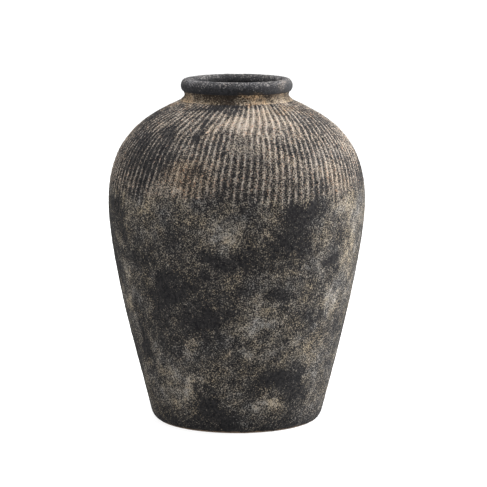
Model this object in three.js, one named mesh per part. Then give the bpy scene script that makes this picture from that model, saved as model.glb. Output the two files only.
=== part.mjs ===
// A large hand-built black clay jar: wide combed shoulder, short neck and a rolled rim.
// It is raised from a floor slab in stacked courses of clay. Each course ends in a V-shaped tongue
// that keys into a groove in the course above, with a thin bed of slip between the two.
// Millimetres, +Z up. The origin is the centre of the face that the jar stands on.
import * as THREE from "three";

// Overall shape
const HEIGHT = 400;
const BELLY_RADIUS = 150;
const BELLY_HEIGHT = 256; // where the jar is widest

// Foot
const FOOT_RADIUS = 101.5; // where the rounded foot edge turns into the wall
const FOOT_EDGE_HEIGHT = 12; // also the thickness of the floor slab at its edge
const FOOT_EDGE_INSET = 8; // how far the rounded edge cuts in under the wall
const FOOT_FLARE = 0.26; // outward lean of the wall above the foot, radius per height

// Shoulder, neck and rim
const SHOULDER_TOP_ANGLE = THREE.MathUtils.degToRad(24); // slope of the shoulder at the neck, from level
const NECK_RADIUS = 60.7; // outside of the neck at its waist, halfway up
const NECK_HEIGHT = 10.6; // from the shoulder to the outer edge of the rim's joint
const NECK_COVE = 5.3; // how far the neck spreads out to meet the shoulder
const NECK_FLARE = 1.1; // how far the neck opens again under the rim
const RIM_WIDTH = 13;
const RIM_HEIGHT = 16;
const RIM_BED = 1.6; // how far the rim's joint sits above its underside
const RIM_OVERHANG = 1.3; // how far the middle of the rim sits out past the middle of the neck wall

// Clay walls and their joints
const WALL = 9;
const TONGUE_HEIGHT = 3;
const SLIP_GAP = 0.45; // bed of slip between two courses, measured along the wall
const CORNER_COIL = 12; // leg of the coil pressed into the corner over the floor
const COIL_CLEARANCE = 0.4;

// The courses of the wall from foot to neck, each raised by the same length of wall
const COURSES = [
  "foot_course",
  "lower_wall_course",
  "middle_wall_course",
  "belly_course",
  "lower_shoulder_course",
  "upper_shoulder_course",
];

// Facets
const ROUND_SEGMENTS = 48;
const COURSE_STEPS = 5;
const NECK_STEPS = 4;
const FOOT_STEPS = 3;
const HALF_RIM_STEPS = 6;
const COIL_STEPS = 4;

const neckTop = new THREE.Vector2(NECK_RADIUS + NECK_FLARE, HEIGHT - RIM_HEIGHT + RIM_BED);
const shoulderTop = new THREE.Vector2(NECK_RADIUS + NECK_COVE, neckTop.y - NECK_HEIGHT);

// Fired clay colours: dark body under a rubbed sandy wash
const washedClay = { color: 0x55514d, roughness: 0.95, metalness: 0 };
const combedClay = { color: 0x6b645d, roughness: 0.95, metalness: 0 };
const ochreClay = { color: 0x80684f, roughness: 0.95, metalness: 0 };
const smokedClay = { color: 0x3f3e40, roughness: 0.85, metalness: 0 };
const bareClay = { color: 0x3a3735, roughness: 0.95, metalness: 0 };

// The outside of the jar from the top of the foot edge to the seat of the rim: radius, height.
// Handle lengths are shares of the rise that each curve covers.
function jarOutline() {
  const wallRise = BELLY_HEIGHT - FOOT_EDGE_HEIGHT;
  const wallHandle = 0.3 * wallRise;
  const bellyHandle = 0.235 * wallRise;
  const shoulderRise = shoulderTop.y - BELLY_HEIGHT;
  const bellyToShoulder = 0.62 * shoulderRise;
  const shoulderHandle = 0.6 * (BELLY_RADIUS - shoulderTop.x);
  const waistHeight = (shoulderTop.y + neckTop.y) / 2;
  return new THREE.Path()
    .moveTo(FOOT_RADIUS, FOOT_EDGE_HEIGHT)
    .bezierCurveTo(
      FOOT_RADIUS + FOOT_FLARE * wallHandle, FOOT_EDGE_HEIGHT + wallHandle,
      BELLY_RADIUS, BELLY_HEIGHT - bellyHandle,
      BELLY_RADIUS, BELLY_HEIGHT,
    )
    .bezierCurveTo(
      BELLY_RADIUS, BELLY_HEIGHT + bellyToShoulder,
      shoulderTop.x + shoulderHandle * Math.cos(SHOULDER_TOP_ANGLE),
      shoulderTop.y - shoulderHandle * Math.sin(SHOULDER_TOP_ANGLE),
      shoulderTop.x, shoulderTop.y,
    )
    .splineThru([new THREE.Vector2(NECK_RADIUS, waistHeight), neckTop]);
}

const outline = jarOutline();
const outlineLength = outline.getLength();

// How far along the outline, from 0 to 1, a height is reached. The outline rises all the way.
function alongAtHeight(height) {
  let low = 0;
  let high = 1;
  for (let i = 0; i < 40; i++) {
    const middle = (low + high) / 2;
    if (outline.getPointAt(middle).y < height) low = middle;
    else high = middle;
  }
  return (low + high) / 2;
}

// A point of the wall: along the outline from 0 to 1, depth in from the outside, lift along the wall.
function wallPoint(along, depth = 0, lift = 0) {
  const tangent = outline.getTangentAt(along);
  const inward = new THREE.Vector2(-tangent.y, tangent.x);
  return outline.getPointAt(along).addScaledVector(inward, depth).addScaledVector(tangent, lift);
}

// The V joint between two courses, from the outside in. The course above starts one slip gap higher.
function jointLine(along, gap = 0) {
  return [
    wallPoint(along, 0, gap),
    wallPoint(along, WALL / 2, gap + TONGUE_HEIGHT),
    wallPoint(along, WALL, gap),
  ];
}

// One ring of wall between two places on the outline, with a groove below and a tongue above.
function courseProfile(from, to, steps) {
  const start = from + SLIP_GAP / outlineLength;
  const places = [];
  for (let i = 1; i < steps; i++) places.push(THREE.MathUtils.lerp(start, to, i / steps));
  const groove = jointLine(from, SLIP_GAP);
  return [
    groove[0],
    ...places.map((along) => wallPoint(along)),
    ...jointLine(to),
    ...places.reverse().map((along) => wallPoint(along, WALL)),
    groove[2],
    groove[1],
    groove[0],
  ];
}

// The disc that the jar stands on, its top level with the inside of the first joint.
function floorProfile() {
  const joint = jointLine(0);
  const edge = new THREE.QuadraticBezierCurve(
    new THREE.Vector2(FOOT_RADIUS - FOOT_EDGE_INSET, 0),
    new THREE.Vector2(FOOT_RADIUS - FOOT_EDGE_INSET / 4, FOOT_EDGE_HEIGHT / 4),
    joint[0],
  );
  const floorCentre = new THREE.Vector2(0, joint[2].y);
  return [new THREE.Vector2(0, 0), ...edge.getPoints(FOOT_STEPS), joint[1], joint[2], floorCentre];
}

// The soft coil smeared into the corner between floor and wall, hollow like a cove moulding.
function cornerCoilProfile() {
  const floorTop = jointLine(0)[2].y + COIL_CLEARANCE;
  const foot = alongAtHeight(FOOT_EDGE_HEIGHT + COIL_CLEARANCE);
  const top = alongAtHeight(FOOT_EDGE_HEIGHT + CORNER_COIL);
  const corner = wallPoint(foot, WALL + COIL_CLEARANCE);
  const onWall = wallPoint(top, WALL + COIL_CLEARANCE);
  const onFloor = new THREE.Vector2(corner.x - CORNER_COIL, floorTop);
  const heel = new THREE.Vector2(corner.x, floorTop);
  const towardsHeel = heel.clone().lerp(new THREE.Vector2(onFloor.x, onWall.y), 0.3);
  const cove = new THREE.QuadraticBezierCurve(onWall, towardsHeel, onFloor).getPoints(COIL_STEPS);
  return [heel, ...cove, heel];
}

// The rolled rim: a rope of clay, taller than wide, seated on the tongue of the neck.
function rimProfile() {
  const groove = jointLine(1, SLIP_GAP);
  const centre = new THREE.Vector2(neckTop.x - WALL / 2 + RIM_OVERHANG, HEIGHT - RIM_HEIGHT / 2);
  // The roll stops short of each edge of the joint, and a short slope closes the crease.
  const stopAngle = (edge) => 0.8 * Math.asin((centre.y - edge.y) / (RIM_HEIGHT / 2));
  const crest = Math.PI / 2;
  const halfRoll = (from, to) => {
    const arc = new THREE.EllipseCurve(centre.x, centre.y, RIM_WIDTH / 2, RIM_HEIGHT / 2, from, to);
    return arc.getPoints(HALF_RIM_STEPS);
  };
  const outerRoll = halfRoll(-stopAngle(groove[0]), crest);
  const innerRoll = halfRoll(crest, Math.PI + stopAngle(groove[2])).slice(1);
  return [groove[0], ...outerRoll, ...innerRoll, groove[2], groove[1], groove[0]];
}

function turned(name, profile, clay) {
  const geometry = new THREE.LatheGeometry(profile, ROUND_SEGMENTS);
  const mesh = new THREE.Mesh(geometry, new THREE.MeshStandardMaterial(clay));
  mesh.name = name;
  mesh.rotation.x = Math.PI / 2; // a lathe turns about Y, and the jar stands along Z
  return mesh;
}

const jar = new THREE.Group();
jar.add(turned("floor_slab", floorProfile(), washedClay));
jar.add(turned("floor_corner_coil", cornerCoilProfile(), bareClay));

const neckJoint = alongAtHeight(shoulderTop.y);
COURSES.forEach((name, i) => {
  const from = (neckJoint * i) / COURSES.length;
  const to = (neckJoint * (i + 1)) / COURSES.length;
  const clay = name.includes("shoulder") ? combedClay : washedClay;
  jar.add(turned(name, courseProfile(from, to, COURSE_STEPS), clay));
});
jar.add(turned("neck_collar", courseProfile(neckJoint, 1, NECK_STEPS), ochreClay));
jar.add(turned("rolled_rim", rimProfile(), smokedClay));

export default jar;
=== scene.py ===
import math
import random

import bpy
import numpy as np
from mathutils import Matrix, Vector


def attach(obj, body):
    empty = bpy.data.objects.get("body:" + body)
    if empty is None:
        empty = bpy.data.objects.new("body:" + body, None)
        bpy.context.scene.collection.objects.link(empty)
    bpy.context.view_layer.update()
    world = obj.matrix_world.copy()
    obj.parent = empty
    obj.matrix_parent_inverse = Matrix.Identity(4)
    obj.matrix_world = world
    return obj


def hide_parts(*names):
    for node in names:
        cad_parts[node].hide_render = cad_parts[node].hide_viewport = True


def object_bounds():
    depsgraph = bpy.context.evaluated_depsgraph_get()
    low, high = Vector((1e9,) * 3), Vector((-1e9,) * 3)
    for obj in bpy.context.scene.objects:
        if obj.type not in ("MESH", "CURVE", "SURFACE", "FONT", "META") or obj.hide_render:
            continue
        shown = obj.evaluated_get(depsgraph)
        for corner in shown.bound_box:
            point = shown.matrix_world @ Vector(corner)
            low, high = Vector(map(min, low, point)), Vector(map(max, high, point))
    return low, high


# A hand-built jar of coarse black clay. Every piece is a ring of clay turned round the same outline,
# then combed, worn and stained by one node tree. Metres, +Z up, the viewer on the -Y side.

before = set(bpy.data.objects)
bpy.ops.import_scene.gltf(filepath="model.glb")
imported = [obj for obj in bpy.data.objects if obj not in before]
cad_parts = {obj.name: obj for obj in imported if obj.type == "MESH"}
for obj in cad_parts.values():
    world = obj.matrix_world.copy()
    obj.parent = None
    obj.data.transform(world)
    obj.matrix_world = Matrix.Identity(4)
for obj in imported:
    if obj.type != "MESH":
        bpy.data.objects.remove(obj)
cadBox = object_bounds()
height = cadBox[1].z

outlineShape = {
    "footRadius": 0.1015,
    "footEdgeHeight": 0.012,
    "footFlare": 0.26,  # outward lean of the wall above the foot
    "bellyRadius": (cadBox[1].x - cadBox[0].x) / 2,
    "bellyHeight": 0.256,
    "shoulderTopAngle": math.radians(24),
    "neckRadius": 0.0607,  # at the waist of the neck
    "neckHeight": 0.0106,
    "neckCove": 0.0053,
    "neckFlare": 0.0011,
    "rimHeight": 0.016,
    "rimBed": 0.0016,
    # handle lengths, as shares of the rise or the run that each curve covers
    "wallHandle": 0.3,
    "bellyHandle": 0.235,
    "lowShoulderHandle": 0.62,
    "topShoulderHandle": 0.6,
}
clayWall = {
    "thickness": 0.009,
    "tongueHeight": 0.003,
    "segments": 960,  # round the jar, about 1 mm each at the belly
    "rowStep": 0.00085,  # up the outside
    "innerStep": 0.005,  # down the inside
}
offWall = -0.2  # metres along the wall, for clay that is off it and out of the comb's reach


def addNode(tree, kind, inputs=(), out=0, **settings):
    node = tree.nodes.new(kind)
    for key, value in settings.items():
        setattr(node, key, value)
    pairs = inputs.items() if isinstance(inputs, dict) else enumerate(inputs)
    for key, value in pairs:
        if isinstance(value, bpy.types.NodeSocket):
            tree.links.new(value, node.inputs[key])
        elif value is not None:
            node.inputs[key].default_value = value
    return node.outputs[out] if node.outputs else node


def linearColour(code):  # an sRGB hex value such as "a08c74"
    channels = [int(code[i:i + 2], 16) / 255 for i in (0, 2, 4)]
    linear = [c / 12.92 if c <= 0.04045 else ((c + 0.055) / 1.055) ** 2.4 for c in channels]
    return (*linear, 1.0)


# The outside of the jar, from the top of the foot edge to the seat of the rim: radius and height.

def bezierPoints(start, startHandle, endHandle, end, count):
    t = np.linspace(0, 1, count)[:, None]
    a, b, c, d = map(np.array, (start, startHandle, endHandle, end))
    return (1 - t) ** 3 * a + 3 * (1 - t) ** 2 * t * b + 3 * (1 - t) * t ** 2 * c + t ** 3 * d


def jarOutline():
    s = outlineShape
    neckTop = np.array([s["neckRadius"] + s["neckFlare"], height - s["rimHeight"] + s["rimBed"]])
    shoulderTop = np.array([s["neckRadius"] + s["neckCove"], neckTop[1] - s["neckHeight"]])
    waist = np.array([s["neckRadius"], (neckTop[1] + shoulderTop[1]) / 2])
    foot = (s["footRadius"], s["footEdgeHeight"])
    belly = (s["bellyRadius"], s["bellyHeight"])
    wallRise = belly[1] - foot[1]
    shoulderRise = shoulderTop[1] - belly[1]
    wallHandle = (foot[0] + s["footFlare"] * s["wallHandle"] * wallRise,
                  foot[1] + s["wallHandle"] * wallRise)
    bellyHandle = (belly[0], belly[1] - s["bellyHandle"] * wallRise)
    wall = bezierPoints(foot, wallHandle, bellyHandle, belly, 600)
    lowHandle = (belly[0], belly[1] + s["lowShoulderHandle"] * shoulderRise)
    slope = np.array([math.cos(s["shoulderTopAngle"]), -math.sin(s["shoulderTopAngle"])])
    topHandle = shoulderTop + s["topShoulderHandle"] * (belly[0] - shoulderTop[0]) * slope
    shoulder = bezierPoints(belly, lowHandle, topHandle, shoulderTop, 600)
    # the neck is a smooth curve through its waist, with handles a sixth of the way between its ends
    lean = (neckTop - shoulderTop) / 6
    neckLow = bezierPoints(shoulderTop, shoulderTop + (waist - shoulderTop) / 6, waist - lean, waist, 60)
    neckHigh = bezierPoints(waist, waist + lean, neckTop - (neckTop - waist) / 6, neckTop, 60)
    return np.vstack([wall[:-1], shoulder[:-1], neckLow[:-1], neckHigh])


outline = jarOutline()
outlineAlong = np.concatenate([[0], np.cumsum(np.linalg.norm(np.diff(outline, axis=0), axis=1))])
outlineTangent = np.gradient(outline, outlineAlong, axis=0)
outlineEnd = float(outlineAlong[-1])


def alongAt(z):
    return float(np.interp(z, outline[:, 1], outlineAlong))


def wallPoints(along, depth=0.0, lift=0.0):  # points of the wall and the way out of the clay there
    point = [np.interp(along, outlineAlong, outline[:, k]) for k in (0, 1)]
    tangent = np.array([np.interp(along, outlineAlong, outlineTangent[:, k]) for k in (0, 1)])
    tangent = tangent / np.linalg.norm(tangent, axis=0)
    outward = np.array([tangent[1], -tangent[0]])
    return (np.array(point) - depth * outward + lift * tangent).T, outward.T


neckFoot = height - outlineShape["rimHeight"] + outlineShape["rimBed"] - outlineShape["neckHeight"]
neckJoint = alongAt(neckFoot)

# Sections. A section is a table with one row for each point, clay on its left: radius, height, the way
# out of the clay (radius, height; 0 where the surface is left smooth), metres along the wall, 1 if it is
# outside, 1 if it is a sharp corner.


def stretch(points, facing, along, outside):
    count = len(points)
    table = np.zeros((count, 7))
    table[:, 0:2] = points
    table[:, 2:4] = facing
    table[:, 4] = along
    table[:, 5] = outside
    table[[0, -1], 6] = 1.0
    return table


def steps(start, end, step):
    return np.linspace(start, end, max(2, math.ceil(abs(end - start) / step) + 1))


def jointTip(along):  # the tip of the V joint between two courses, inside the clay
    point, _ = wallPoints(np.array([along]), clayWall["thickness"] / 2, clayWall["tongueHeight"])
    return np.array([[point[0, 0], point[0, 1], 0, 0, along, 0, 0]])


def courseSection(low, high):
    up = steps(low, high, clayWall["rowStep"])
    down = steps(high, low, clayWall["innerStep"])
    outer, outward = wallPoints(up)
    inner, inward = wallPoints(down, clayWall["thickness"])
    return np.vstack([stretch(outer, outward, up, 1.0), jointTip(high),
                      stretch(inner, -inward, down, 0.0), jointTip(low)])


floorSlab = {
    "edgeInset": 0.008,  # how far the rounded edge cuts in under the wall
    "hollow": 0.0024,  # the underside dries slightly hollow and stands on its rim
    "hollowRun": 0.02,  # over which the hollow deepens
    "standingRing": 0.012,
    "underRoughness": 0.35,  # share of the wall's grit and lumps, as it is pressed flat on a board
    "underStep": 0.002,
    "insideStep": 0.006,
    "edgePoints": 20,
}


def floorSection():
    s, f = outlineShape, floorSlab
    top, _ = wallPoints(np.array([0.0]), clayWall["thickness"])
    standing = s["footRadius"] - f["edgeInset"]
    radii = steps(0.0, standing, f["underStep"])
    rise = np.clip((standing - f["standingRing"] - radii) / f["hollowRun"], 0, 1)
    rise = rise * rise * (3 - 2 * rise)
    under = np.column_stack([radii, f["hollow"] * rise])
    underFacing = np.column_stack([np.zeros(len(radii)), -rise * f["underRoughness"]])
    t = np.linspace(0, 1, f["edgePoints"])[:, None]
    start = np.array([standing, 0.0])
    bend = np.array([s["footRadius"] - f["edgeInset"] / 4, s["footEdgeHeight"] / 4])
    end = np.array([s["footRadius"], s["footEdgeHeight"]])
    edge = (1 - t) ** 2 * start + 2 * (1 - t) * t * bend + t ** 2 * end
    tangent = np.gradient(edge, axis=0)
    tangent = tangent / np.linalg.norm(tangent, axis=1)[:, None]
    edgeFacing = np.column_stack([tangent[:, 1], -tangent[:, 0]])
    edgeFacing[-1] = wallPoints(np.array([0.0]))[1][0]
    edgeFacing[0] = 0
    inside = steps(top[0, 0], 0.0, f["insideStep"])
    upper = np.column_stack([inside, np.full(len(inside), top[0, 1])])
    return np.vstack([stretch(under, underFacing, offWall, 1.0)[:-1],
                      stretch(edge, edgeFacing, offWall, 1.0), jointTip(0.0),
                      stretch(upper, (0.0, 1.0), offWall, 0.0)])


cornerCoil = {
    "leg": 0.012,
    "hollow": 0.3,  # how far the cove is pulled towards the corner
    "covePoints": 18,
    "floorPoints": 6,
}


def cornerCoilSection():
    low = alongAt(outlineShape["footEdgeHeight"])
    high = alongAt(outlineShape["footEdgeHeight"] + cornerCoil["leg"])
    heel, _ = wallPoints(np.array([low]), clayWall["thickness"])
    wallSide = steps(low, high, clayWall["rowStep"] * 2)
    onWall, _ = wallPoints(wallSide, clayWall["thickness"])
    onWall = onWall[1:]
    onFloor = np.array([heel[0, 0] - cornerCoil["leg"], heel[0, 1]])
    corner = np.array([heel[0, 0], heel[0, 1]])
    bend = corner + (np.array([onFloor[0], onWall[-1, 1]]) - corner) * cornerCoil["hollow"]
    t = np.linspace(0, 1, cornerCoil["covePoints"])[:, None]
    cove = (1 - t) ** 2 * onWall[-1] + 2 * (1 - t) * t * bend + t ** 2 * onFloor
    tangent = np.gradient(cove, axis=0)
    tangent = tangent / np.linalg.norm(tangent, axis=1)[:, None]
    facing = np.column_stack([tangent[:, 1], -tangent[:, 0]])
    facing[[0, -1]] = 0
    across = np.linspace(onFloor[0], corner[0], cornerCoil["floorPoints"])
    floorSide = np.column_stack([across, np.full(len(across), corner[1])])
    return np.vstack([stretch(onWall, (0.0, 0.0), offWall, 0.0)[:-1], stretch(cove, facing, offWall, 0.0),
                      stretch(floorSide[1:], (0.0, 0.0), offWall, 0.0)])


rolledRim = {
    "width": 0.013,
    "overhang": 0.0013,  # how far its middle sits out past the middle of the neck's wall
    "rollStop": 0.8,  # the roll stops short of the joint, and a short slope closes the crease
    "rollPoints": 56,
}


def rimSection():
    s, r = outlineShape, rolledRim
    seat = np.array([outlineEnd])
    outer, outward = wallPoints(seat)
    inner, _ = wallPoints(seat, clayWall["thickness"])
    middle = outer[0, 0] - clayWall["thickness"] / 2 + r["overhang"]
    centre = np.array([middle, height - s["rimHeight"] / 2])
    halves = np.array([r["width"], s["rimHeight"]]) / 2
    stops = [r["rollStop"] * math.asin((centre[1] - edge[0, 1]) / halves[1]) for edge in (outer, inner)]
    angles = np.linspace(-stops[0], math.pi + stops[1], r["rollPoints"])
    roll = centre + halves * np.column_stack([np.cos(angles), np.sin(angles)])
    facing = np.column_stack([np.cos(angles) / halves[0], np.sin(angles) / halves[1]])
    facing = facing / np.linalg.norm(facing, axis=1)[:, None]
    roll = np.vstack([outer, roll, inner])
    facing = np.vstack([outward, facing, -outward])
    along = outlineEnd + np.concatenate([[0], np.cumsum(np.linalg.norm(np.diff(roll, axis=0), axis=1))])
    return np.vstack([stretch(roll, facing, along, 1.0), jointTip(outlineEnd)])


# Marks left by the hand and the fire.

marks = [
    # degrees round from the viewer's side (+ to the right), height, half width and half height in mm,
    # turn in degrees, wash (+ sandy, - smoked), comb rubbed out, ochre
    (28, 239, 24, 20, 10, -0.62, 0.0, 0.0),
    (31, 263, 34, 11, 8, -0.5, 0.0, 0.0),
    (46, 208, 22, 13, -25, -0.35, 0.0, 0.0),
    (17, 226, 14, 18, 0, -0.3, 0.0, 0.0),
    (-8, 205, 19, 14, -10, -0.62, 0.0, 0.0),
    (6, 212, 22, 9, -15, -0.45, 0.0, 0.0),
    (-20, 165, 70, 45, 12, -0.25, 0.0, 0.0),
    (-30, 172, 40, 13, 8, -0.6, 0.0, 0.0),
    (-38, 150, 15, 18, 0, -0.5, 0.0, 0.0),
    (-20, 130, 28, 18, 10, -0.55, 0.0, 0.0),
    (-22, 349, 6, 10, 15, -0.9, 0.0, 0.0),
    (-39, 345, 10, 13, 10, -0.7, 0.0, 0.0),
    (20, 170, 12, 10, 0, -0.5, 0.0, 0.0),
    (-66, 250, 14, 26, 0, -0.55, 0.0, 0.0),
    (-65, 200, 12, 14, 0, -0.3, 0.0, 0.0),
    (-50, 204, 26, 15, 6, -0.45, 0.0, 0.0),
    (-57, 102, 9, 28, 0, -0.6, 0.0, 0.0),
    (47, 205, 10, 8, 0, -0.5, 0.0, 0.0),
    (40, 140, 10, 9, 0, -0.5, 0.0, 0.0),
    (8, 85, 10, 8, 0, -0.5, 0.0, 0.0),
    (27, 68, 24, 20, 0, -0.55, 0.0, 0.0),
    (11, 66, 22, 11, 10, -0.35, 0.0, 0.0),
    (35, 46, 18, 26, -20, -0.4, 0.0, 0.0),
    (-12, 24, 28, 12, -30, -0.75, 0.0, 0.0),
    (-15, 308, 16, 10, 0, -0.4, 0.2, 0.0),
    (-35, 108, 14, 10, 0, -0.35, 0.0, 0.0),
    (-5, 245, 24, 12, 20, 0.5, 0.0, 0.0),
    (-32, 280, 38, 20, 0, 0.2, 0.55, 0.0),
    (-52, 266, 30, 13, 0, 0.1, 0.7, 0.0),
    (-65, 150, 16, 22, 0, 0.5, 0.0, 0.0),
    (54, 152, 12, 14, 0, 0.5, 0.0, 0.0),
    (62, 225, 22, 46, 0, 0.45, 0.0, 0.0),
    (-6, 95, 5, 5, 0, 1.0, 0.0, 0.2),
    (-30, 60, 14, 8, 10, 0.5, 0.0, 0.0),
    (18, 27, 10, 10, 0, 0.6, 0.0, 0.0),
    (10, 135, 26, 16, 15, 0.4, 0.0, 0.0),
    (10, 100, 14, 8, 0, 0.4, 0.0, 0.0),
    (8, 358, 42, 20, 0, 0.68, 0.0, 0.1),
    (-52, 325, 44, 34, 0, -0.42, 0.0, 0.0),
    (42, 335, 54, 40, 0, 0.15, 0.0, 0.0),
    (76, 290, 30, 60, 0, 0.15, 0.0, 0.0),
    (-50, 360, 6, 8, 0, 0.5, 0.0, 0.0),
    (50, 290, 18, 16, 0, 0.35, 0.0, 0.2),
    (-22, 301, 30, 18, 0, 0.05, 0.0, 0.35),
    (54, 266, 26, 16, 0, 0.3, 0.0, 0.0),
    (0, 336, 15, 9, 0, 0.1, 0.9, 0.0),
    (-14, 382, 16, 6, 0, -0.7, 0.0, -0.2),
    (-26, 371, 26, 7, 0, -0.6, 0.0, 0.0),
    (-4, 373, 8, 5, 0, -0.7, 0.0, -0.2),
    (44, 370, 34, 8, 0, 0.05, 0.0, 0.35),
    (-64, 372, 26, 7, 0, 0.05, 0.0, 0.35),
    (14, 375, 17, 5, 0, 0.3, 0.0, 0.35),
    (32, 383, 6, 4, 0, -0.6, 0.0, 0.0),
    (15, 381, 12, 5, 0, 0.45, 0.0, 0.6),
    (-60, 378, 14, 5, 0, 0.4, 0.0, 0.2),
    (60, 380, 14, 5, 0, 0.5, 0.0, 0.2),
]
backMarks = {  # the side turned away
    "count": 46,
    "seed": 5,
    "halfWidth": (9, 38),
    "oval": (0.5, 0.9),  # half height as a share of half width
    "round": (85, 275),  # degrees from the viewer's side
    "height": (10, 370),
    "turn": (-40, 40),
    "kinds": [-1, -1, 0.6],  # two smoked for each sandy one, and the sandy ones are weaker
    "wash": (0.4, 0.95),
    "ochre": [0, 0, 0.25],
}
markShape = {
    "core": 0.2,  # whole up to here, in half widths
    "fade": 1.65,  # and gone by here
    "depth": 50,  # mm that it reaches in and out of the wall
    "ragged": ((0.035, 0.032), (0.009, 0.012)),  # size and reach of the unevenness of its edge
}


def allMarks():
    b = backMarks
    chance = random.Random(b["seed"])
    rows = list(marks)
    for _ in range(b["count"]):
        halfWide = chance.uniform(*b["halfWidth"])
        wash = chance.choice(b["kinds"]) * chance.uniform(*b["wash"])
        angle = chance.uniform(*b["round"])
        markHeight = chance.uniform(*b["height"])
        halfTall = halfWide * chance.uniform(*b["oval"])
        lean = chance.uniform(*b["turn"])
        rows.append((angle, markHeight, halfWide, halfTall, lean, wash, 0.0, chance.choice(b["ochre"])))
    return rows


def marksObject():
    rows = allMarks()
    places, axes = [], {"across": [], "up": [], "out": []}
    for angle, markHeight, halfWide, halfTall, lean, *_ in rows:
        turn, tilt = math.radians(angle), math.radians(lean)
        (point,), (outward,) = wallPoints(np.array([alongAt(markHeight / 1000)]))
        out = Vector((outward[0] * math.sin(turn), -outward[0] * math.cos(turn), outward[1]))
        sideways = Vector((math.cos(turn), math.sin(turn), 0))
        upward = out.cross(sideways)
        places.append((point[0] * math.sin(turn), -point[0] * math.cos(turn), point[1]))
        axes["across"].append((sideways * math.cos(tilt) + upward * math.sin(tilt)) * 1000 / halfWide)
        axes["up"].append((upward * math.cos(tilt) - sideways * math.sin(tilt)) * 1000 / halfTall)
        axes["out"].append(out * (1000 / markShape["depth"]))
    mesh = bpy.data.meshes.new("handMarks")
    mesh.from_pydata(places, [], [])
    for name, values in axes.items():
        mesh.attributes.new(name, "FLOAT_VECTOR", "POINT").data.foreach_set("vector", np.ravel(values))
    for name, column in (("wash", 5), ("smear", 6), ("ochre", 7)):
        values = [float(row[column]) for row in rows]
        mesh.attributes.new(name, "FLOAT", "POINT").data.foreach_set("value", values)
    return bpy.data.objects.new("handMarks", mesh)


tierJoint = alongAt(0.344)  # where the two tiers of combing meet
comb = {
    "depth": 0.00105,
    "crestPower": 1.6,  # above 1 gives thin crests and wide hollows
    "slip": 0.2,  # slip is laid on a little thicker where the comb will run
    "shakeSize": 0.035,  # of the unsteady hand
    "swaySize": 0.06,  # of the uneven line where the comb is set down and lifted
    "wornSize": 0.028,  # of the places where the ridges are rubbed down
    "leastLeft": 0.6,  # of a ridge, where it is most worn
    # metres; lean is measured at radius, and shake is in ridges. Ragged is how far one groove starts or
    # ends from its neighbours, swing how far that line wanders, and fade how long the comb takes to lift
    "tiers": [
        {"ridges": 84, "top": neckJoint + 0.0028, "end": tierJoint - 0.002,
         "lean": math.radians(13), "radius": 0.1, "shake": 0.22,
         "raggedTop": 0.0026, "swingTop": 0.008, "fadeTop": 0.005,
         "raggedEnd": 0.003, "swingEnd": 0.03, "fadeEnd": 0.004, "seed": 3},
        {"ridges": 118, "top": tierJoint + 0.002, "end": alongAt(0.269),
         "lean": math.radians(7), "radius": 0.143, "shake": 0.22,
         "raggedTop": 0.003, "swingTop": 0.03, "fadeTop": 0.004,
         "raggedEnd": 0.008, "swingEnd": 0.07, "fadeEnd": 0.016, "seed": 11},
    ],
}
clayBody = {
    "grainSize": 0.0024, "grainHeight": 0.0006,  # quartz grit standing out of the clay
    "lumpSize": 0.012, "lumpHeight": 0.0009,  # left by the scraper
    "wobbleSize": 0.11, "wobbleHeight": 0.0016,  # left by the hands
}


# The wheel: a node tree that turns a section round Z and works its surface.

def combTier(tree, tier, theta, along, position):
    # the phase counts ridges round the jar, and a crest is wherever it is whole
    turned = addNode(tree, "ShaderNodeMath", [theta, tier["ridges"] / (2 * math.pi)], operation="MULTIPLY")
    rise = addNode(tree, "ShaderNodeMath", [along, tier["top"]], operation="SUBTRACT")
    twist = -tier["ridges"] * math.tan(tier["lean"]) / (2 * math.pi * tier["radius"])
    phase = addNode(tree, "ShaderNodeMath", [rise, twist, turned], operation="MULTIPLY_ADD")
    shake = addNode(tree, "ShaderNodeTexNoise", {"Vector": position, "Scale": 1 / comb["shakeSize"],
                                                 "Detail": 1.5})
    phase = addNode(tree, "ShaderNodeMath", [shake, tier["shake"] * 2, phase], operation="MULTIPLY_ADD")
    cell = addNode(tree, "ShaderNodeMath", [phase], operation="FLOOR")
    part = addNode(tree, "ShaderNodeMath", [phase, cell], operation="SUBTRACT")
    part = addNode(tree, "ShaderNodeMapRange", [part, 0.0, 1.0, -1.0, 1.0])
    part = addNode(tree, "ShaderNodeMath", [part], operation="ABSOLUTE")
    crest = addNode(tree, "ShaderNodeMath", [part, comb["crestPower"]], operation="POWER")
    # each groove starts and stops at its own place
    groove = addNode(tree, "ShaderNodeMath", [cell, tier["ridges"]], operation="FLOORED_MODULO")
    sway = addNode(tree, "ShaderNodeTexNoise", {"Vector": position, "Scale": 1 / comb["swaySize"],
                                                "Detail": 1.0})
    sway = addNode(tree, "ShaderNodeMath", [sway, 0.5], operation="SUBTRACT")
    within = []
    for i, side in enumerate(("Top", "End")):
        limits = {2: -1.0, 3: 1.0, "ID": groove, "Seed": tier["seed"] + i}
        chance = addNode(tree, "FunctionNodeRandomValue", limits, 1)
        edge = addNode(tree, "ShaderNodeMath", [chance, tier["ragged" + side], tier[side.lower()]],
                       operation="MULTIPLY_ADD")
        edge = addNode(tree, "ShaderNodeMath", [sway, tier["swing" + side], edge], operation="MULTIPLY_ADD")
        order = [edge, along] if side == "Top" else [along, edge]
        inside = addNode(tree, "ShaderNodeMath", order, operation="SUBTRACT")
        within.append(addNode(tree, "ShaderNodeMapRange", [inside, 0.0, tier["fade" + side]],
                              interpolation_type="SMOOTHSTEP"))
    mask = addNode(tree, "ShaderNodeMath", within, operation="MULTIPLY")
    return crest, mask


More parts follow.
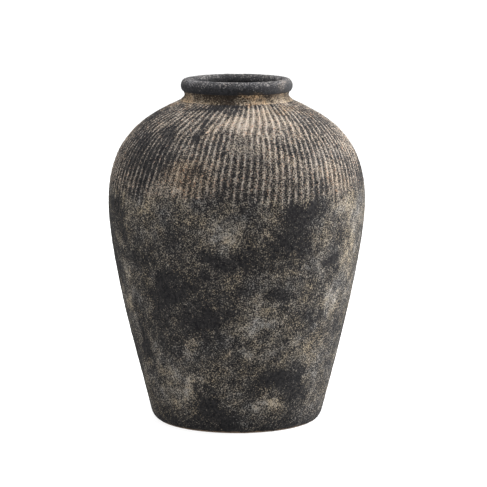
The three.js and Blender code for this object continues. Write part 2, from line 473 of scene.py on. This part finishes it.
def wheelTree():
    tree = bpy.data.node_groups.new("clayWheel", "GeometryNodeTree")
    for name, kind in (
        ("Section", "Geometry"), ("Segments", "Int"), ("Closed", "Int"), ("Comb depth", "Float"),
        ("Grain height", "Float"), ("Lump height", "Float"), ("Wobble height", "Float"),
        ("Hand marks", "Object"), ("Outer clay", "Material"), ("Inner clay", "Material"),
    ):
        tree.interface.new_socket(name, in_out="INPUT", socket_type="NodeSocket" + kind)
    tree.interface.new_socket("Piece", in_out="OUTPUT", socket_type="NodeSocketGeometry")
    given = tree.nodes.new("NodeGroupInput").outputs

    # a flat grid is rolled up: one side of it goes round the jar and the other along the section
    points = addNode(tree, "GeometryNodeAttributeDomainSize", [given["Section"]], component="MESH")
    rows = addNode(tree, "FunctionNodeIntegerMath", [points, given["Closed"]], operation="ADD")
    columns = addNode(tree, "FunctionNodeIntegerMath", [given["Segments"], 1], operation="ADD")
    grid = addNode(tree, "GeometryNodeMeshGrid", [1.0, 1.0, columns, rows])
    index = addNode(tree, "GeometryNodeInputIndex")
    column = addNode(tree, "FunctionNodeIntegerMath", [index, rows], operation="DIVIDE_FLOOR")
    row = addNode(tree, "FunctionNodeIntegerMath", [index, rows], operation="FLOORED_MODULO")
    row = addNode(tree, "FunctionNodeIntegerMath", [row, points], operation="FLOORED_MODULO")
    theta = addNode(tree, "ShaderNodeMath", [column, given["Segments"]], operation="DIVIDE")
    theta = addNode(tree, "ShaderNodeMapRange", [theta, 0.0, 1.0, -math.pi, math.pi])
    position = addNode(tree, "GeometryNodeInputPosition")
    kinds = {"position": "FLOAT_VECTOR", "facing": "FLOAT_VECTOR", "along": "FLOAT", "outside": "FLOAT",
             "corner": "FLOAT", "theta": "FLOAT"}
    sampled = {}
    for name in ("position", "facing", "along", "outside", "corner"):
        value = position
        if name != "position":
            value = addNode(tree, "GeometryNodeInputNamedAttribute", [name], data_type=kinds[name])
        sampled[name] = addNode(tree, "GeometryNodeSampleIndex", [given["Section"], value, row],
                                data_type=kinds[name])
    sine = addNode(tree, "ShaderNodeMath", [theta], operation="SINE")
    cosine = addNode(tree, "ShaderNodeMath", [theta], operation="COSINE")
    towards = addNode(tree, "ShaderNodeMath", [cosine, -1.0], operation="MULTIPLY")
    for name in ("position", "facing"):
        radius = addNode(tree, "ShaderNodeSeparateXYZ", [sampled[name]])
        rise = addNode(tree, "ShaderNodeSeparateXYZ", [sampled[name]], 2)
        x = addNode(tree, "ShaderNodeMath", [radius, sine], operation="MULTIPLY")
        y = addNode(tree, "ShaderNodeMath", [radius, towards], operation="MULTIPLY")
        sampled[name] = addNode(tree, "ShaderNodeCombineXYZ", [x, y, rise])
    turnedPlace = sampled.pop("position")
    sampled["theta"] = theta
    shape = grid
    held = {}
    for name, value in sampled.items():
        shape = addNode(tree, "GeometryNodeStoreNamedAttribute",
                        {"Geometry": shape, "Name": name, "Value": value}, data_type=kinds[name])
        held[name] = addNode(tree, "GeometryNodeInputNamedAttribute", [name], data_type=kinds[name])
    shape = addNode(tree, "GeometryNodeSetPosition", {"Geometry": shape, "Position": turnedPlace})

    # the marks: each is a soft oval with a ragged edge, and their amounts add up
    handMarks = addNode(tree, "GeometryNodeObjectInfo", [given["Hand marks"]], "Geometry")
    markCount = addNode(tree, "GeometryNodeAttributeDomainSize", [handMarks], component="MESH")
    ragged = position
    for size, reach in markShape["ragged"]:
        push = addNode(tree, "ShaderNodeTexNoise", {"Vector": position, "Scale": 1 / size, "Detail": 2.0},
                       "Color")
        push = addNode(tree, "ShaderNodeVectorMath", [push, (0.5, 0.5, 0.5)], operation="SUBTRACT")
        push = addNode(tree, "ShaderNodeVectorMath", {0: push, "Scale": reach * 2}, operation="SCALE")
        ragged = addNode(tree, "ShaderNodeVectorMath", [ragged, push], operation="ADD")
    repeatIn = tree.nodes.new("GeometryNodeRepeatInput")
    repeatOut = tree.nodes.new("GeometryNodeRepeatOutput")
    repeatIn.pair_with_output(repeatOut)
    amounts = ("wash", "smear", "ochre")
    for name in amounts:
        repeatOut.repeat_items.new("FLOAT", name)
    tree.links.new(markCount, repeatIn.inputs["Iterations"])
    mark = {}
    for name in ("position", "across", "up", "out") + amounts:
        kind = "FLOAT" if name in amounts else "FLOAT_VECTOR"
        value = position
        if name != "position":
            value = addNode(tree, "GeometryNodeInputNamedAttribute", [name], data_type=kind)
        mark[name] = addNode(tree, "GeometryNodeSampleIndex",
                             [handMarks, value, repeatIn.outputs["Iteration"]], data_type=kind)
    away = addNode(tree, "ShaderNodeVectorMath", [ragged, mark["position"]], operation="SUBTRACT")
    shares = []
    for axis in ("across", "up", "out"):
        shares.append(addNode(tree, "ShaderNodeVectorMath", [away, mark[axis]], "Value",
                              operation="DOT_PRODUCT"))
    far = addNode(tree, "ShaderNodeCombineXYZ", shares)
    far = addNode(tree, "ShaderNodeVectorMath", [far], "Value", operation="LENGTH")
    near = addNode(tree, "ShaderNodeMapRange", [far, markShape["core"], markShape["fade"], 1.0, 0.0],
                   interpolation_type="SMOOTHSTEP")
    for name in amounts:
        added = addNode(tree, "ShaderNodeMath", [near, mark[name], repeatIn.outputs[name]],
                        operation="MULTIPLY_ADD")
        tree.links.new(added, repeatOut.inputs[name])
    left = {name: repeatOut.outputs[name] for name in amounts}

    # the comb, cut in two tiers; the crest runs from -1 in a hollow to 1 on a ridge
    keep = addNode(tree, "ShaderNodeMapRange", [left["smear"], 0.0, 1.0, 1.0, 0.0])
    keep = addNode(tree, "ShaderNodeMath", [keep, held["outside"]], operation="MULTIPLY")
    worn = addNode(tree, "ShaderNodeTexNoise", {"Vector": position, "Scale": 1 / comb["wornSize"],
                                                "Detail": 2.0})
    worn = addNode(tree, "ShaderNodeMapRange", [worn, 0.36, 0.58, comb["leastLeft"], 1.0])
    keep = addNode(tree, "ShaderNodeMath", [keep, worn], operation="MULTIPLY")
    dips, crests, masks = [], [], []
    for tier in comb["tiers"]:
        crest, mask = combTier(tree, tier, held["theta"], held["along"], position)
        masks.append(mask)
        mask = addNode(tree, "ShaderNodeMath", [mask, keep], operation="MULTIPLY")
        hollow = addNode(tree, "ShaderNodeMath", [1.0, crest], operation="SUBTRACT")
        dips.append(addNode(tree, "ShaderNodeMath", [hollow, mask], operation="MULTIPLY"))
        crest = addNode(tree, "ShaderNodeMapRange", [crest, 0.0, 1.0, -1.0, 1.0])
        crests.append(addNode(tree, "ShaderNodeMath", [crest, mask], operation="MULTIPLY"))
    dip = addNode(tree, "ShaderNodeMath", dips, operation="MAXIMUM")
    crest = addNode(tree, "ShaderNodeMath", crests, operation="ADD")
    combed = addNode(tree, "ShaderNodeMath", masks, operation="MAXIMUM")
    left["wash"] = addNode(tree, "ShaderNodeMath", [combed, comb["slip"], left["wash"]],
                           operation="MULTIPLY_ADD")

    # grit, scraper marks and the unevenness of the hand, all along the way out of the clay
    lift = addNode(tree, "ShaderNodeMath", [dip, given["Comb depth"]], operation="MULTIPLY")
    lift = addNode(tree, "ShaderNodeMath", [lift, -1.0], operation="MULTIPLY")
    for name, detail in (("grain", 2.0), ("lump", 2.0), ("wobble", 0.0)):
        scale = 1 / clayBody[name + "Size"]
        bump = addNode(tree, "ShaderNodeTexNoise", {"Vector": position, "Scale": scale, "Detail": detail})
        bump = addNode(tree, "ShaderNodeMath", [bump, 0.5], operation="SUBTRACT")
        lift = addNode(tree, "ShaderNodeMath", [bump, given[name.capitalize() + " height"], lift],
                       operation="MULTIPLY_ADD")
    offset = addNode(tree, "ShaderNodeVectorMath", {0: held["facing"], "Scale": lift}, operation="SCALE")
    for name, value in (("crest", crest), ("wash", left["wash"]), ("ochre", left["ochre"])):
        shape = addNode(tree, "GeometryNodeStoreNamedAttribute",
                        {"Geometry": shape, "Name": name, "Value": value}, data_type="FLOAT")
    shape = addNode(tree, "GeometryNodeSetPosition", {"Geometry": shape, "Offset": offset})
    # this closes the seam behind the jar and the poles of the floor
    shape = addNode(tree, "GeometryNodeMergeByDistance", {"Geometry": shape, "Distance": 1e-5})
    # an edge is sharp where both its ends are corners
    atCorner = addNode(tree, "FunctionNodeCompare", [held["corner"], 0.99], operation="GREATER_THAN")
    shape = addNode(tree, "GeometryNodeSetShadeSmooth", [shape, None, True])
    shape = addNode(tree, "GeometryNodeSetShadeSmooth", [shape, atCorner, False], domain="EDGE")
    # a face with half of its points outside still takes the outer clay
    inner = addNode(tree, "FunctionNodeCompare", [held["outside"], 0.4], operation="LESS_THAN")
    shape = addNode(tree, "GeometryNodeRealizeInstances", [shape])
    shape = addNode(tree, "GeometryNodeSetMaterial", {"Geometry": shape, "Material": given["Outer clay"]})
    shape = addNode(tree, "GeometryNodeSetMaterial", {"Geometry": shape, "Selection": inner,
                                                      "Material": given["Inner clay"]})
    addNode(tree, "NodeGroupOutput", {"Piece": shape})
    return tree


# Clays. All of them are one low-fired body of black clay with grit in it; they differ in what is rubbed on.

def clayMaterial(name, clay):
    material = bpy.data.materials.new(name)
    material.use_nodes = True
    tree = material.node_tree
    tree.nodes.clear()
    colours = {key: linearColour(value) for key, value in clay.items() if isinstance(value, str)}
    place = addNode(tree, "ShaderNodeTexCoord", out="Object")
    level = addNode(tree, "ShaderNodeSeparateXYZ", [place], 2)
    wash = addNode(tree, "ShaderNodeAttribute", attribute_name="wash", out="Fac")
    crest = addNode(tree, "ShaderNodeAttribute", attribute_name="crest", out="Fac")
    ochre = addNode(tree, "ShaderNodeAttribute", attribute_name="ochre", out="Fac")
    patterns = {}
    for key, (size, detail, roughness, low, high) in clay["patterns"].items():
        noise = addNode(tree, "ShaderNodeTexNoise", {"Vector": place, "Scale": 1000 / size,
                                                     "Detail": detail, "Roughness": roughness})
        patterns[key] = addNode(tree, "ShaderNodeMapRange", [noise, low, high])

    # how much of the wash is left here, with painted light and painted shade added by height and in the
    # comb's hollows
    cover = addNode(tree, "ShaderNodeMath", [wash, clay["washGain"], clay["cover"]],
                    operation="MULTIPLY_ADD")
    for size, gain, detail in clay["blotches"]:
        blotch = addNode(tree, "ShaderNodeTexNoise", {"Vector": place, "Scale": 1000 / size,
                                                      "Detail": detail, "Roughness": 0.6})
        blotch = addNode(tree, "ShaderNodeMath", [blotch, 0.5], operation="SUBTRACT")
        cover = addNode(tree, "ShaderNodeMath", [blotch, gain, cover], operation="MULTIPLY_ADD")
    # the ridges keep more wash and the hollows are drawn darker: partly wash wiped from them, partly
    # painted shade in the hollows
    cover = addNode(tree, "ShaderNodeMath", [crest, clay["crestWashAndHollowShade"], cover], operation="MULTIPLY_ADD")
    # painted light and shade: the wash cover is lowered or raised between two heights, which draws a band
    # darker or lighter
    low, high, gain = clay["paintedLightByHeight"]
    paintedLightByHeight = addNode(tree, "ShaderNodeMapRange", [level, low, high, -gain, gain])
    cover = addNode(tree, "ShaderNodeMath", [cover, paintedLightByHeight], operation="ADD")
    cover = addNode(tree, "ShaderNodeMath", [cover, clay["leastCover"], clay["coverBlend"]],
                    operation="SMOOTH_MAX")

    # the wash catches on the grit first
    grit = addNode(tree, "ShaderNodeTexNoise", {"Vector": place, "Scale": 1000 / clay["gritSize"],
                                                "Detail": 3.0, "Roughness": clay["gritRoughness"]})
    caught = addNode(tree, "ShaderNodeMath", [grit, cover], operation="ADD")
    half = clay["softness"] / 2
    caught = addNode(tree, "ShaderNodeMapRange", [caught, 1.0 - half, 1.0 + half])
    caught = addNode(tree, "ShaderNodeMath", [caught, clay["strength"]], operation="MULTIPLY")

    # the wash turns grey, cream on the ridges, ochre in the stains and rusty in single grains
    pale = addNode(tree, "ShaderNodeMapRange", [crest, 0.0, 1.0, 0.0, clay["crestCream"]])
    warm = addNode(tree, "ShaderNodeMath", [ochre, clay["ochreBase"]], operation="ADD", use_clamp=True)
    rusty = addNode(tree, "ShaderNodeMath", [warm, clay["rustInOchre"], clay["rustBase"]],
                    operation="MULTIPLY_ADD", use_clamp=True)
    rusty = addNode(tree, "ShaderNodeMath", [patterns["rust"], rusty], operation="MULTIPLY")
    sand = colours["sand"]
    drift = patterns["drift"]
    for amount, tint in ((drift, "sandGrey"), (pale, "cream"), (warm, "ochre"), (rusty, "rust")):
        sand = addNode(tree, "ShaderNodeMix", {0: amount, 6: sand, 7: colours[tint]}, 2, data_type="RGBA")
    body = colours["body"]
    for amount, tint in ((patterns["stain"], "bodyPale"), (warm, "bodyWarm")):
        body = addNode(tree, "ShaderNodeMix", {0: amount, 6: body, 7: colours[tint]}, 2, data_type="RGBA")
    colour = addNode(tree, "ShaderNodeMix", {0: caught, 6: body, 7: sand}, 2, data_type="RGBA")
    if "bare" in clay:  # rubbed bare where the jar stands, up to an uneven line
        size, reach = clay["wear"]
        wear = addNode(tree, "ShaderNodeTexNoise", {"Vector": place, "Scale": 1000 / size, "Detail": 2.0})
        line = addNode(tree, "ShaderNodeMath", [wear, -reach, level], operation="MULTIPLY_ADD")
        low, high = clay["bareBelow"]
        rubbed = addNode(tree, "ShaderNodeMapRange", [line, low, high, 1.0, 0.0])
        core = addNode(tree, "ShaderNodeMix", {0: patterns["core"], 6: colours["bareDark"],
                                               7: colours["bare"]}, 2, data_type="RGBA")
        colour = addNode(tree, "ShaderNodeMix", {0: rubbed, 6: colour, 7: core}, 2, data_type="RGBA")

    relief = addNode(tree, "ShaderNodeTexNoise", {"Vector": place, "Scale": 1000 / clay["poreSize"],
                                                  "Detail": 2.0})
    relief = addNode(tree, "ShaderNodeMath", [relief, grit], operation="ADD")
    normal = addNode(tree, "ShaderNodeBump", {"Height": relief, "Strength": clay["bump"],
                                              "Distance": clay["poreDepth"]})
    shader = addNode(tree, "ShaderNodeBsdfPrincipled", {
        "Base Color": colour, "Roughness": clay["roughness"], "IOR": clay["ior"],
        "Specular IOR Level": clay["specular"], "Normal": normal})
    addNode(tree, "ShaderNodeOutputMaterial", {"Surface": shader})
    return material


blackClay = {
    "body": "111113", "bodyPale": "272626", "bodyWarm": "2c2620",
    "sand": "938773", "sandGrey": "7f7d7a", "cream": "978e87", "ochre": "937a5c", "rust": "8f6244",
    # how much wash there is, and what adds to it
    "cover": 0.35, "leastCover": 0.24, "coverBlend": 0.08, "washGain": 0.17, "crestWashAndHollowShade": 0.1,
    "blotches": [(48, 0.24, 3.0), (10, 0.24, 2.0)],  # mm, gain, detail
    "paintedLightByHeight": (0.0, 0.03, 0.04),  # painted shade, darker towards the foot: from and to in metres up, gain
    "crestCream": 0.6, "ochreBase": 0.0, "rustBase": 0.15, "rustInOchre": 0.6,
    # mm; grit in such clay is about half a millimetre, too fine to show, so its grains are drawn larger
    "gritSize": 1.4, "gritRoughness": 0.6, "softness": 0.22, "strength": 0.9,
    "patterns": {  # mm, detail, roughness, and the part of the noise that fades it in
        "stain": (4, 4.0, 0.75, 0.38, 0.66),
        "drift": (30, 6.0, 0.75, 0.36, 0.64),
        "rust": (2.4, 1.0, 0.5, 0.6, 0.66),
    },
    "poreSize": 1.1, "poreDepth": 0.0006, "bump": 0.35,  # mm across, metres deep
    "roughness": 0.92, "specular": 0.05, "ior": 1.5,
}
clays = {
    # sawdust-smoked body with a sandy slip rubbed on and wiped off: matte, gritty, grey-black, pale specks
    "washedBlackClay": blackClay,
    # the same, combed while soft: the slip stays pale on the ridges, and the hollows are darker, partly
    # wiped clean and partly painted shade
    "combedBlackClay": {**blackClay, "sand": "928677", "sandGrey": "807a73", "rustBase": 0.4},
    # the neck was smoothed with a wet finger, which left a brown film of slip
    "ochreSlippedClay": {
        **blackClay, "body": "1e1b18", "bodyPale": "342c26", "ochre": "a48a6c", "ochreBase": 0.25,
        "cover": 0.4, "paintedLightByHeight": (0.3885, 0.3755, 0.07),  # painted shade under the rim: darker towards the top of the neck
    },
    # the rim is rubbed down by handling: charcoal, close-grained, slightly blue
    "handledBlackClay": {
        **blackClay, "body": "151517", "bodyPale": "262628", "sand": "8f8a85", "sandGrey": "7a797c",
        # painted light and shade: the rim is drawn lighter on its top, where the top light falls, and
        # darker underneath
        "cover": 0.3, "paintedLightByHeight": (0.387, 0.3985, 0.1), "roughness": 0.85, "specular": 0.14,
    },
    # the inside was never washed: dull smoke-black
    "bareBlackClay": {**blackClay, "cover": 0.3, "strength": 0.5},
    # the foot stands on a ring of clay rubbed down to its tan core, gritty and uneven
    "footBlackClay": {
        **blackClay, "bare": "6e5c4c", "bareDark": "3b332c",
        "patterns": {**blackClay["patterns"], "core": (5, 5.0, 0.8, 0.36, 0.6)},
        "bareBelow": (-0.0002, 0.001),  # metres up, from all bare to all washed
        "wear": (9, 0.003),  # mm across and metres up of the unevenness of that line
    },
}
madeClays = {name: clayMaterial(name, clay) for name, clay in clays.items()}
print("clay: made", len(madeClays), "materials")

# Pieces, in the order that the potter puts them on.

courseCount = 6
wallLevels = [neckJoint * i / courseCount for i in range(courseCount + 1)]
washed, combed, bare = "washedBlackClay", "combedBlackClay", "bareBlackClay"
pieces = {
    # node: section, 1 if its ends join (the floor's end on the axis), outer clay, inner clay, slot
    "floor_slab": (floorSection(), 0, "footBlackClay", bare, "washed_clay"),
    "floor_corner_coil": (cornerCoilSection(), 1, bare, bare, "bare_clay"),
    "foot_course": (courseSection(*wallLevels[0:2]), 1, washed, bare, "washed_clay"),
    "lower_wall_course": (courseSection(*wallLevels[1:3]), 1, washed, bare, "washed_clay"),
    "middle_wall_course": (courseSection(*wallLevels[2:4]), 1, washed, bare, "washed_clay"),
    "belly_course": (courseSection(*wallLevels[3:5]), 1, washed, bare, "washed_clay"),
    "lower_shoulder_course": (courseSection(*wallLevels[4:6]), 1, combed, bare, "combed_clay"),
    "upper_shoulder_course": (courseSection(*wallLevels[5:7]), 1, combed, bare, "combed_clay"),
    "neck_collar": (courseSection(neckJoint, outlineEnd), 1, "ochreSlippedClay", bare, "ochre_clay"),
    "rolled_rim": (rimSection(), 1, "handledBlackClay", bare, "smoked_clay"),
}


def sectionObject(name, table):
    mesh = bpy.data.meshes.new(name)
    mesh.from_pydata([(row[0], 0.0, row[1]) for row in table], [], [])
    facing = np.column_stack([table[:, 2], np.zeros(len(table)), table[:, 3]])
    mesh.attributes.new("facing", "FLOAT_VECTOR", "POINT").data.foreach_set("vector", facing.ravel())
    for column, attribute in ((4, "along"), (5, "outside"), (6, "corner")):
        values = table[:, column].copy()
        mesh.attributes.new(attribute, "FLOAT", "POINT").data.foreach_set("value", values)
    return bpy.data.objects.new(name, mesh)


def turnPiece(node, tree, handMarks, table, closed, outerClay, innerClay):
    section = sectionObject(node + "_section", table)
    bpy.context.scene.collection.objects.link(section)
    wheel = section.modifiers.new("clayWheel", "NODES")
    wheel.node_group = tree
    settings = {
        "Segments": clayWall["segments"], "Closed": closed, "Comb depth": comb["depth"],
        "Grain height": clayBody["grainHeight"], "Lump height": clayBody["lumpHeight"],
        "Wobble height": clayBody["wobbleHeight"], "Hand marks": handMarks,
        "Outer clay": madeClays[outerClay], "Inner clay": madeClays[innerClay],
    }
    for item in tree.interface.items_tree:
        if item.item_type == "SOCKET" and item.in_out == "INPUT" and item.name in settings:
            wheel[item.identifier] = settings[item.name]
    section.data.update()
    bpy.context.view_layer.update()
    evaluated = section.evaluated_get(bpy.context.evaluated_depsgraph_get())
    mesh = bpy.data.meshes.new_from_object(evaluated)
    bpy.data.objects.remove(section)
    if mesh.materials[0] is None:  # an empty slot that the wheel's grid brings
        mesh.materials.pop(index=0)
    for name in ("facing", "along", "outside", "corner", "theta"):  # only the wheel needs these
        mesh.attributes.remove(mesh.attributes[name])
    piece = bpy.data.objects.new(node + "_clay", mesh)
    bpy.context.scene.collection.objects.link(piece)
    return piece


wheel = wheelTree()
handMarks = marksObject()
bpy.context.scene.collection.objects.link(handMarks)
total = 0
for node, (table, closed, outerClay, innerClay, slot) in pieces.items():
    piece = turnPiece(node, wheel, handMarks, table, closed, outerClay, innerClay)
    piece.data.calc_loop_triangles()
    total += len(piece.data.loop_triangles)
    print("piece:", piece.name, len(piece.data.loop_triangles), "triangles")
    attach(piece, "root")
    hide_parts(node)
bpy.data.objects.remove(handMarks)
print("pieces: done,", total, "triangles")

# The studio: white floor and white surround, with soft boxes.

studio = {
    "floorSize": 60.0,
    "floorLevel": -0.0003,  # just under the jar's foot
    "floorColour": "999999",
    "floorGlow": 0.8,  # lifts the far floor to the white of the surround
    "worldColour": "ffffff",
    "worldStrength": 1.0,
    # name: place, aim, size in metres, watts
    "softBoxes": {
        "keyBox": ((-2.2, -1.4, 1.6), (0, 0, 0.22), 1.4, 25.0),
        "sideBox": ((2.4, 0.5, 0.8), (0, 0, 0.2), 1.4, 200.0),
        "topBox": ((0.2, 0.1, 2.6), (0, 0, 0.3), 1.4, 130.0),
    },
}


def aimAt(thing, target):
    direction = Vector(target) - thing.location
    thing.rotation_euler = direction.to_track_quat("-Z", "Y").to_euler()


def buildStudio():
    half = studio["floorSize"] / 2
    low = studio["floorLevel"]
    mesh = bpy.data.meshes.new("studioFloor")
    corners = [(-half, -half, low), (half, -half, low), (half, half, low), (-half, half, low)]
    mesh.from_pydata(corners, [], [(0, 1, 2, 3)])
    floor = bpy.data.objects.new("studioFloor", mesh)
    paper = bpy.data.materials.new("whitePaper")
    paper.use_nodes = True
    shader = paper.node_tree.nodes["Principled BSDF"]
    shader.inputs["Base Color"].default_value = linearColour(studio["floorColour"])
    shader.inputs["Roughness"].default_value = 0.95
    shader.inputs["Specular IOR Level"].default_value = 0.0
    shader.inputs["Emission Color"].default_value = linearColour("ffffff")
    shader.inputs["Emission Strength"].default_value = studio["floorGlow"]
    mesh.materials.append(paper)
    bpy.context.scene.collection.objects.link(floor)
    world = bpy.data.worlds.new("studioWorld")
    world.use_nodes = True
    background = world.node_tree.nodes["Background"]
    background.inputs["Color"].default_value = linearColour(studio["worldColour"])
    background.inputs["Strength"].default_value = studio["worldStrength"]
    bpy.context.scene.world = world
    for name, (place, target, size, watts) in studio["softBoxes"].items():
        light = bpy.data.lights.new(name, "AREA")
        light.size = size
        light.energy = watts
        box = bpy.data.objects.new(name, light)
        box.location = place
        aimAt(box, target)
        bpy.context.scene.collection.objects.link(box)
    bpy.context.scene.view_settings.view_transform = "Standard"


view = {
    "place": (0.0, -2.8, 0.6412),
    "target": (0.0, 0.0, 0.2),
    "lens": 178.55,
    "sensor": 36.0,
    "shift": (0.0141, 0.0101),
}


def buildCamera():
    lens = bpy.data.cameras.new("viewCamera")
    lens.lens = view["lens"]
    lens.sensor_width = view["sensor"]
    lens.shift_x, lens.shift_y = view["shift"]
    lens.clip_end = 200.0
    camera = bpy.data.objects.new("viewCamera", lens)
    camera.location = view["place"]
    aimAt(camera, view["target"])
    bpy.context.scene.collection.objects.link(camera)
    bpy.context.scene.camera = camera


buildStudio()
buildCamera()
print("studio: done")
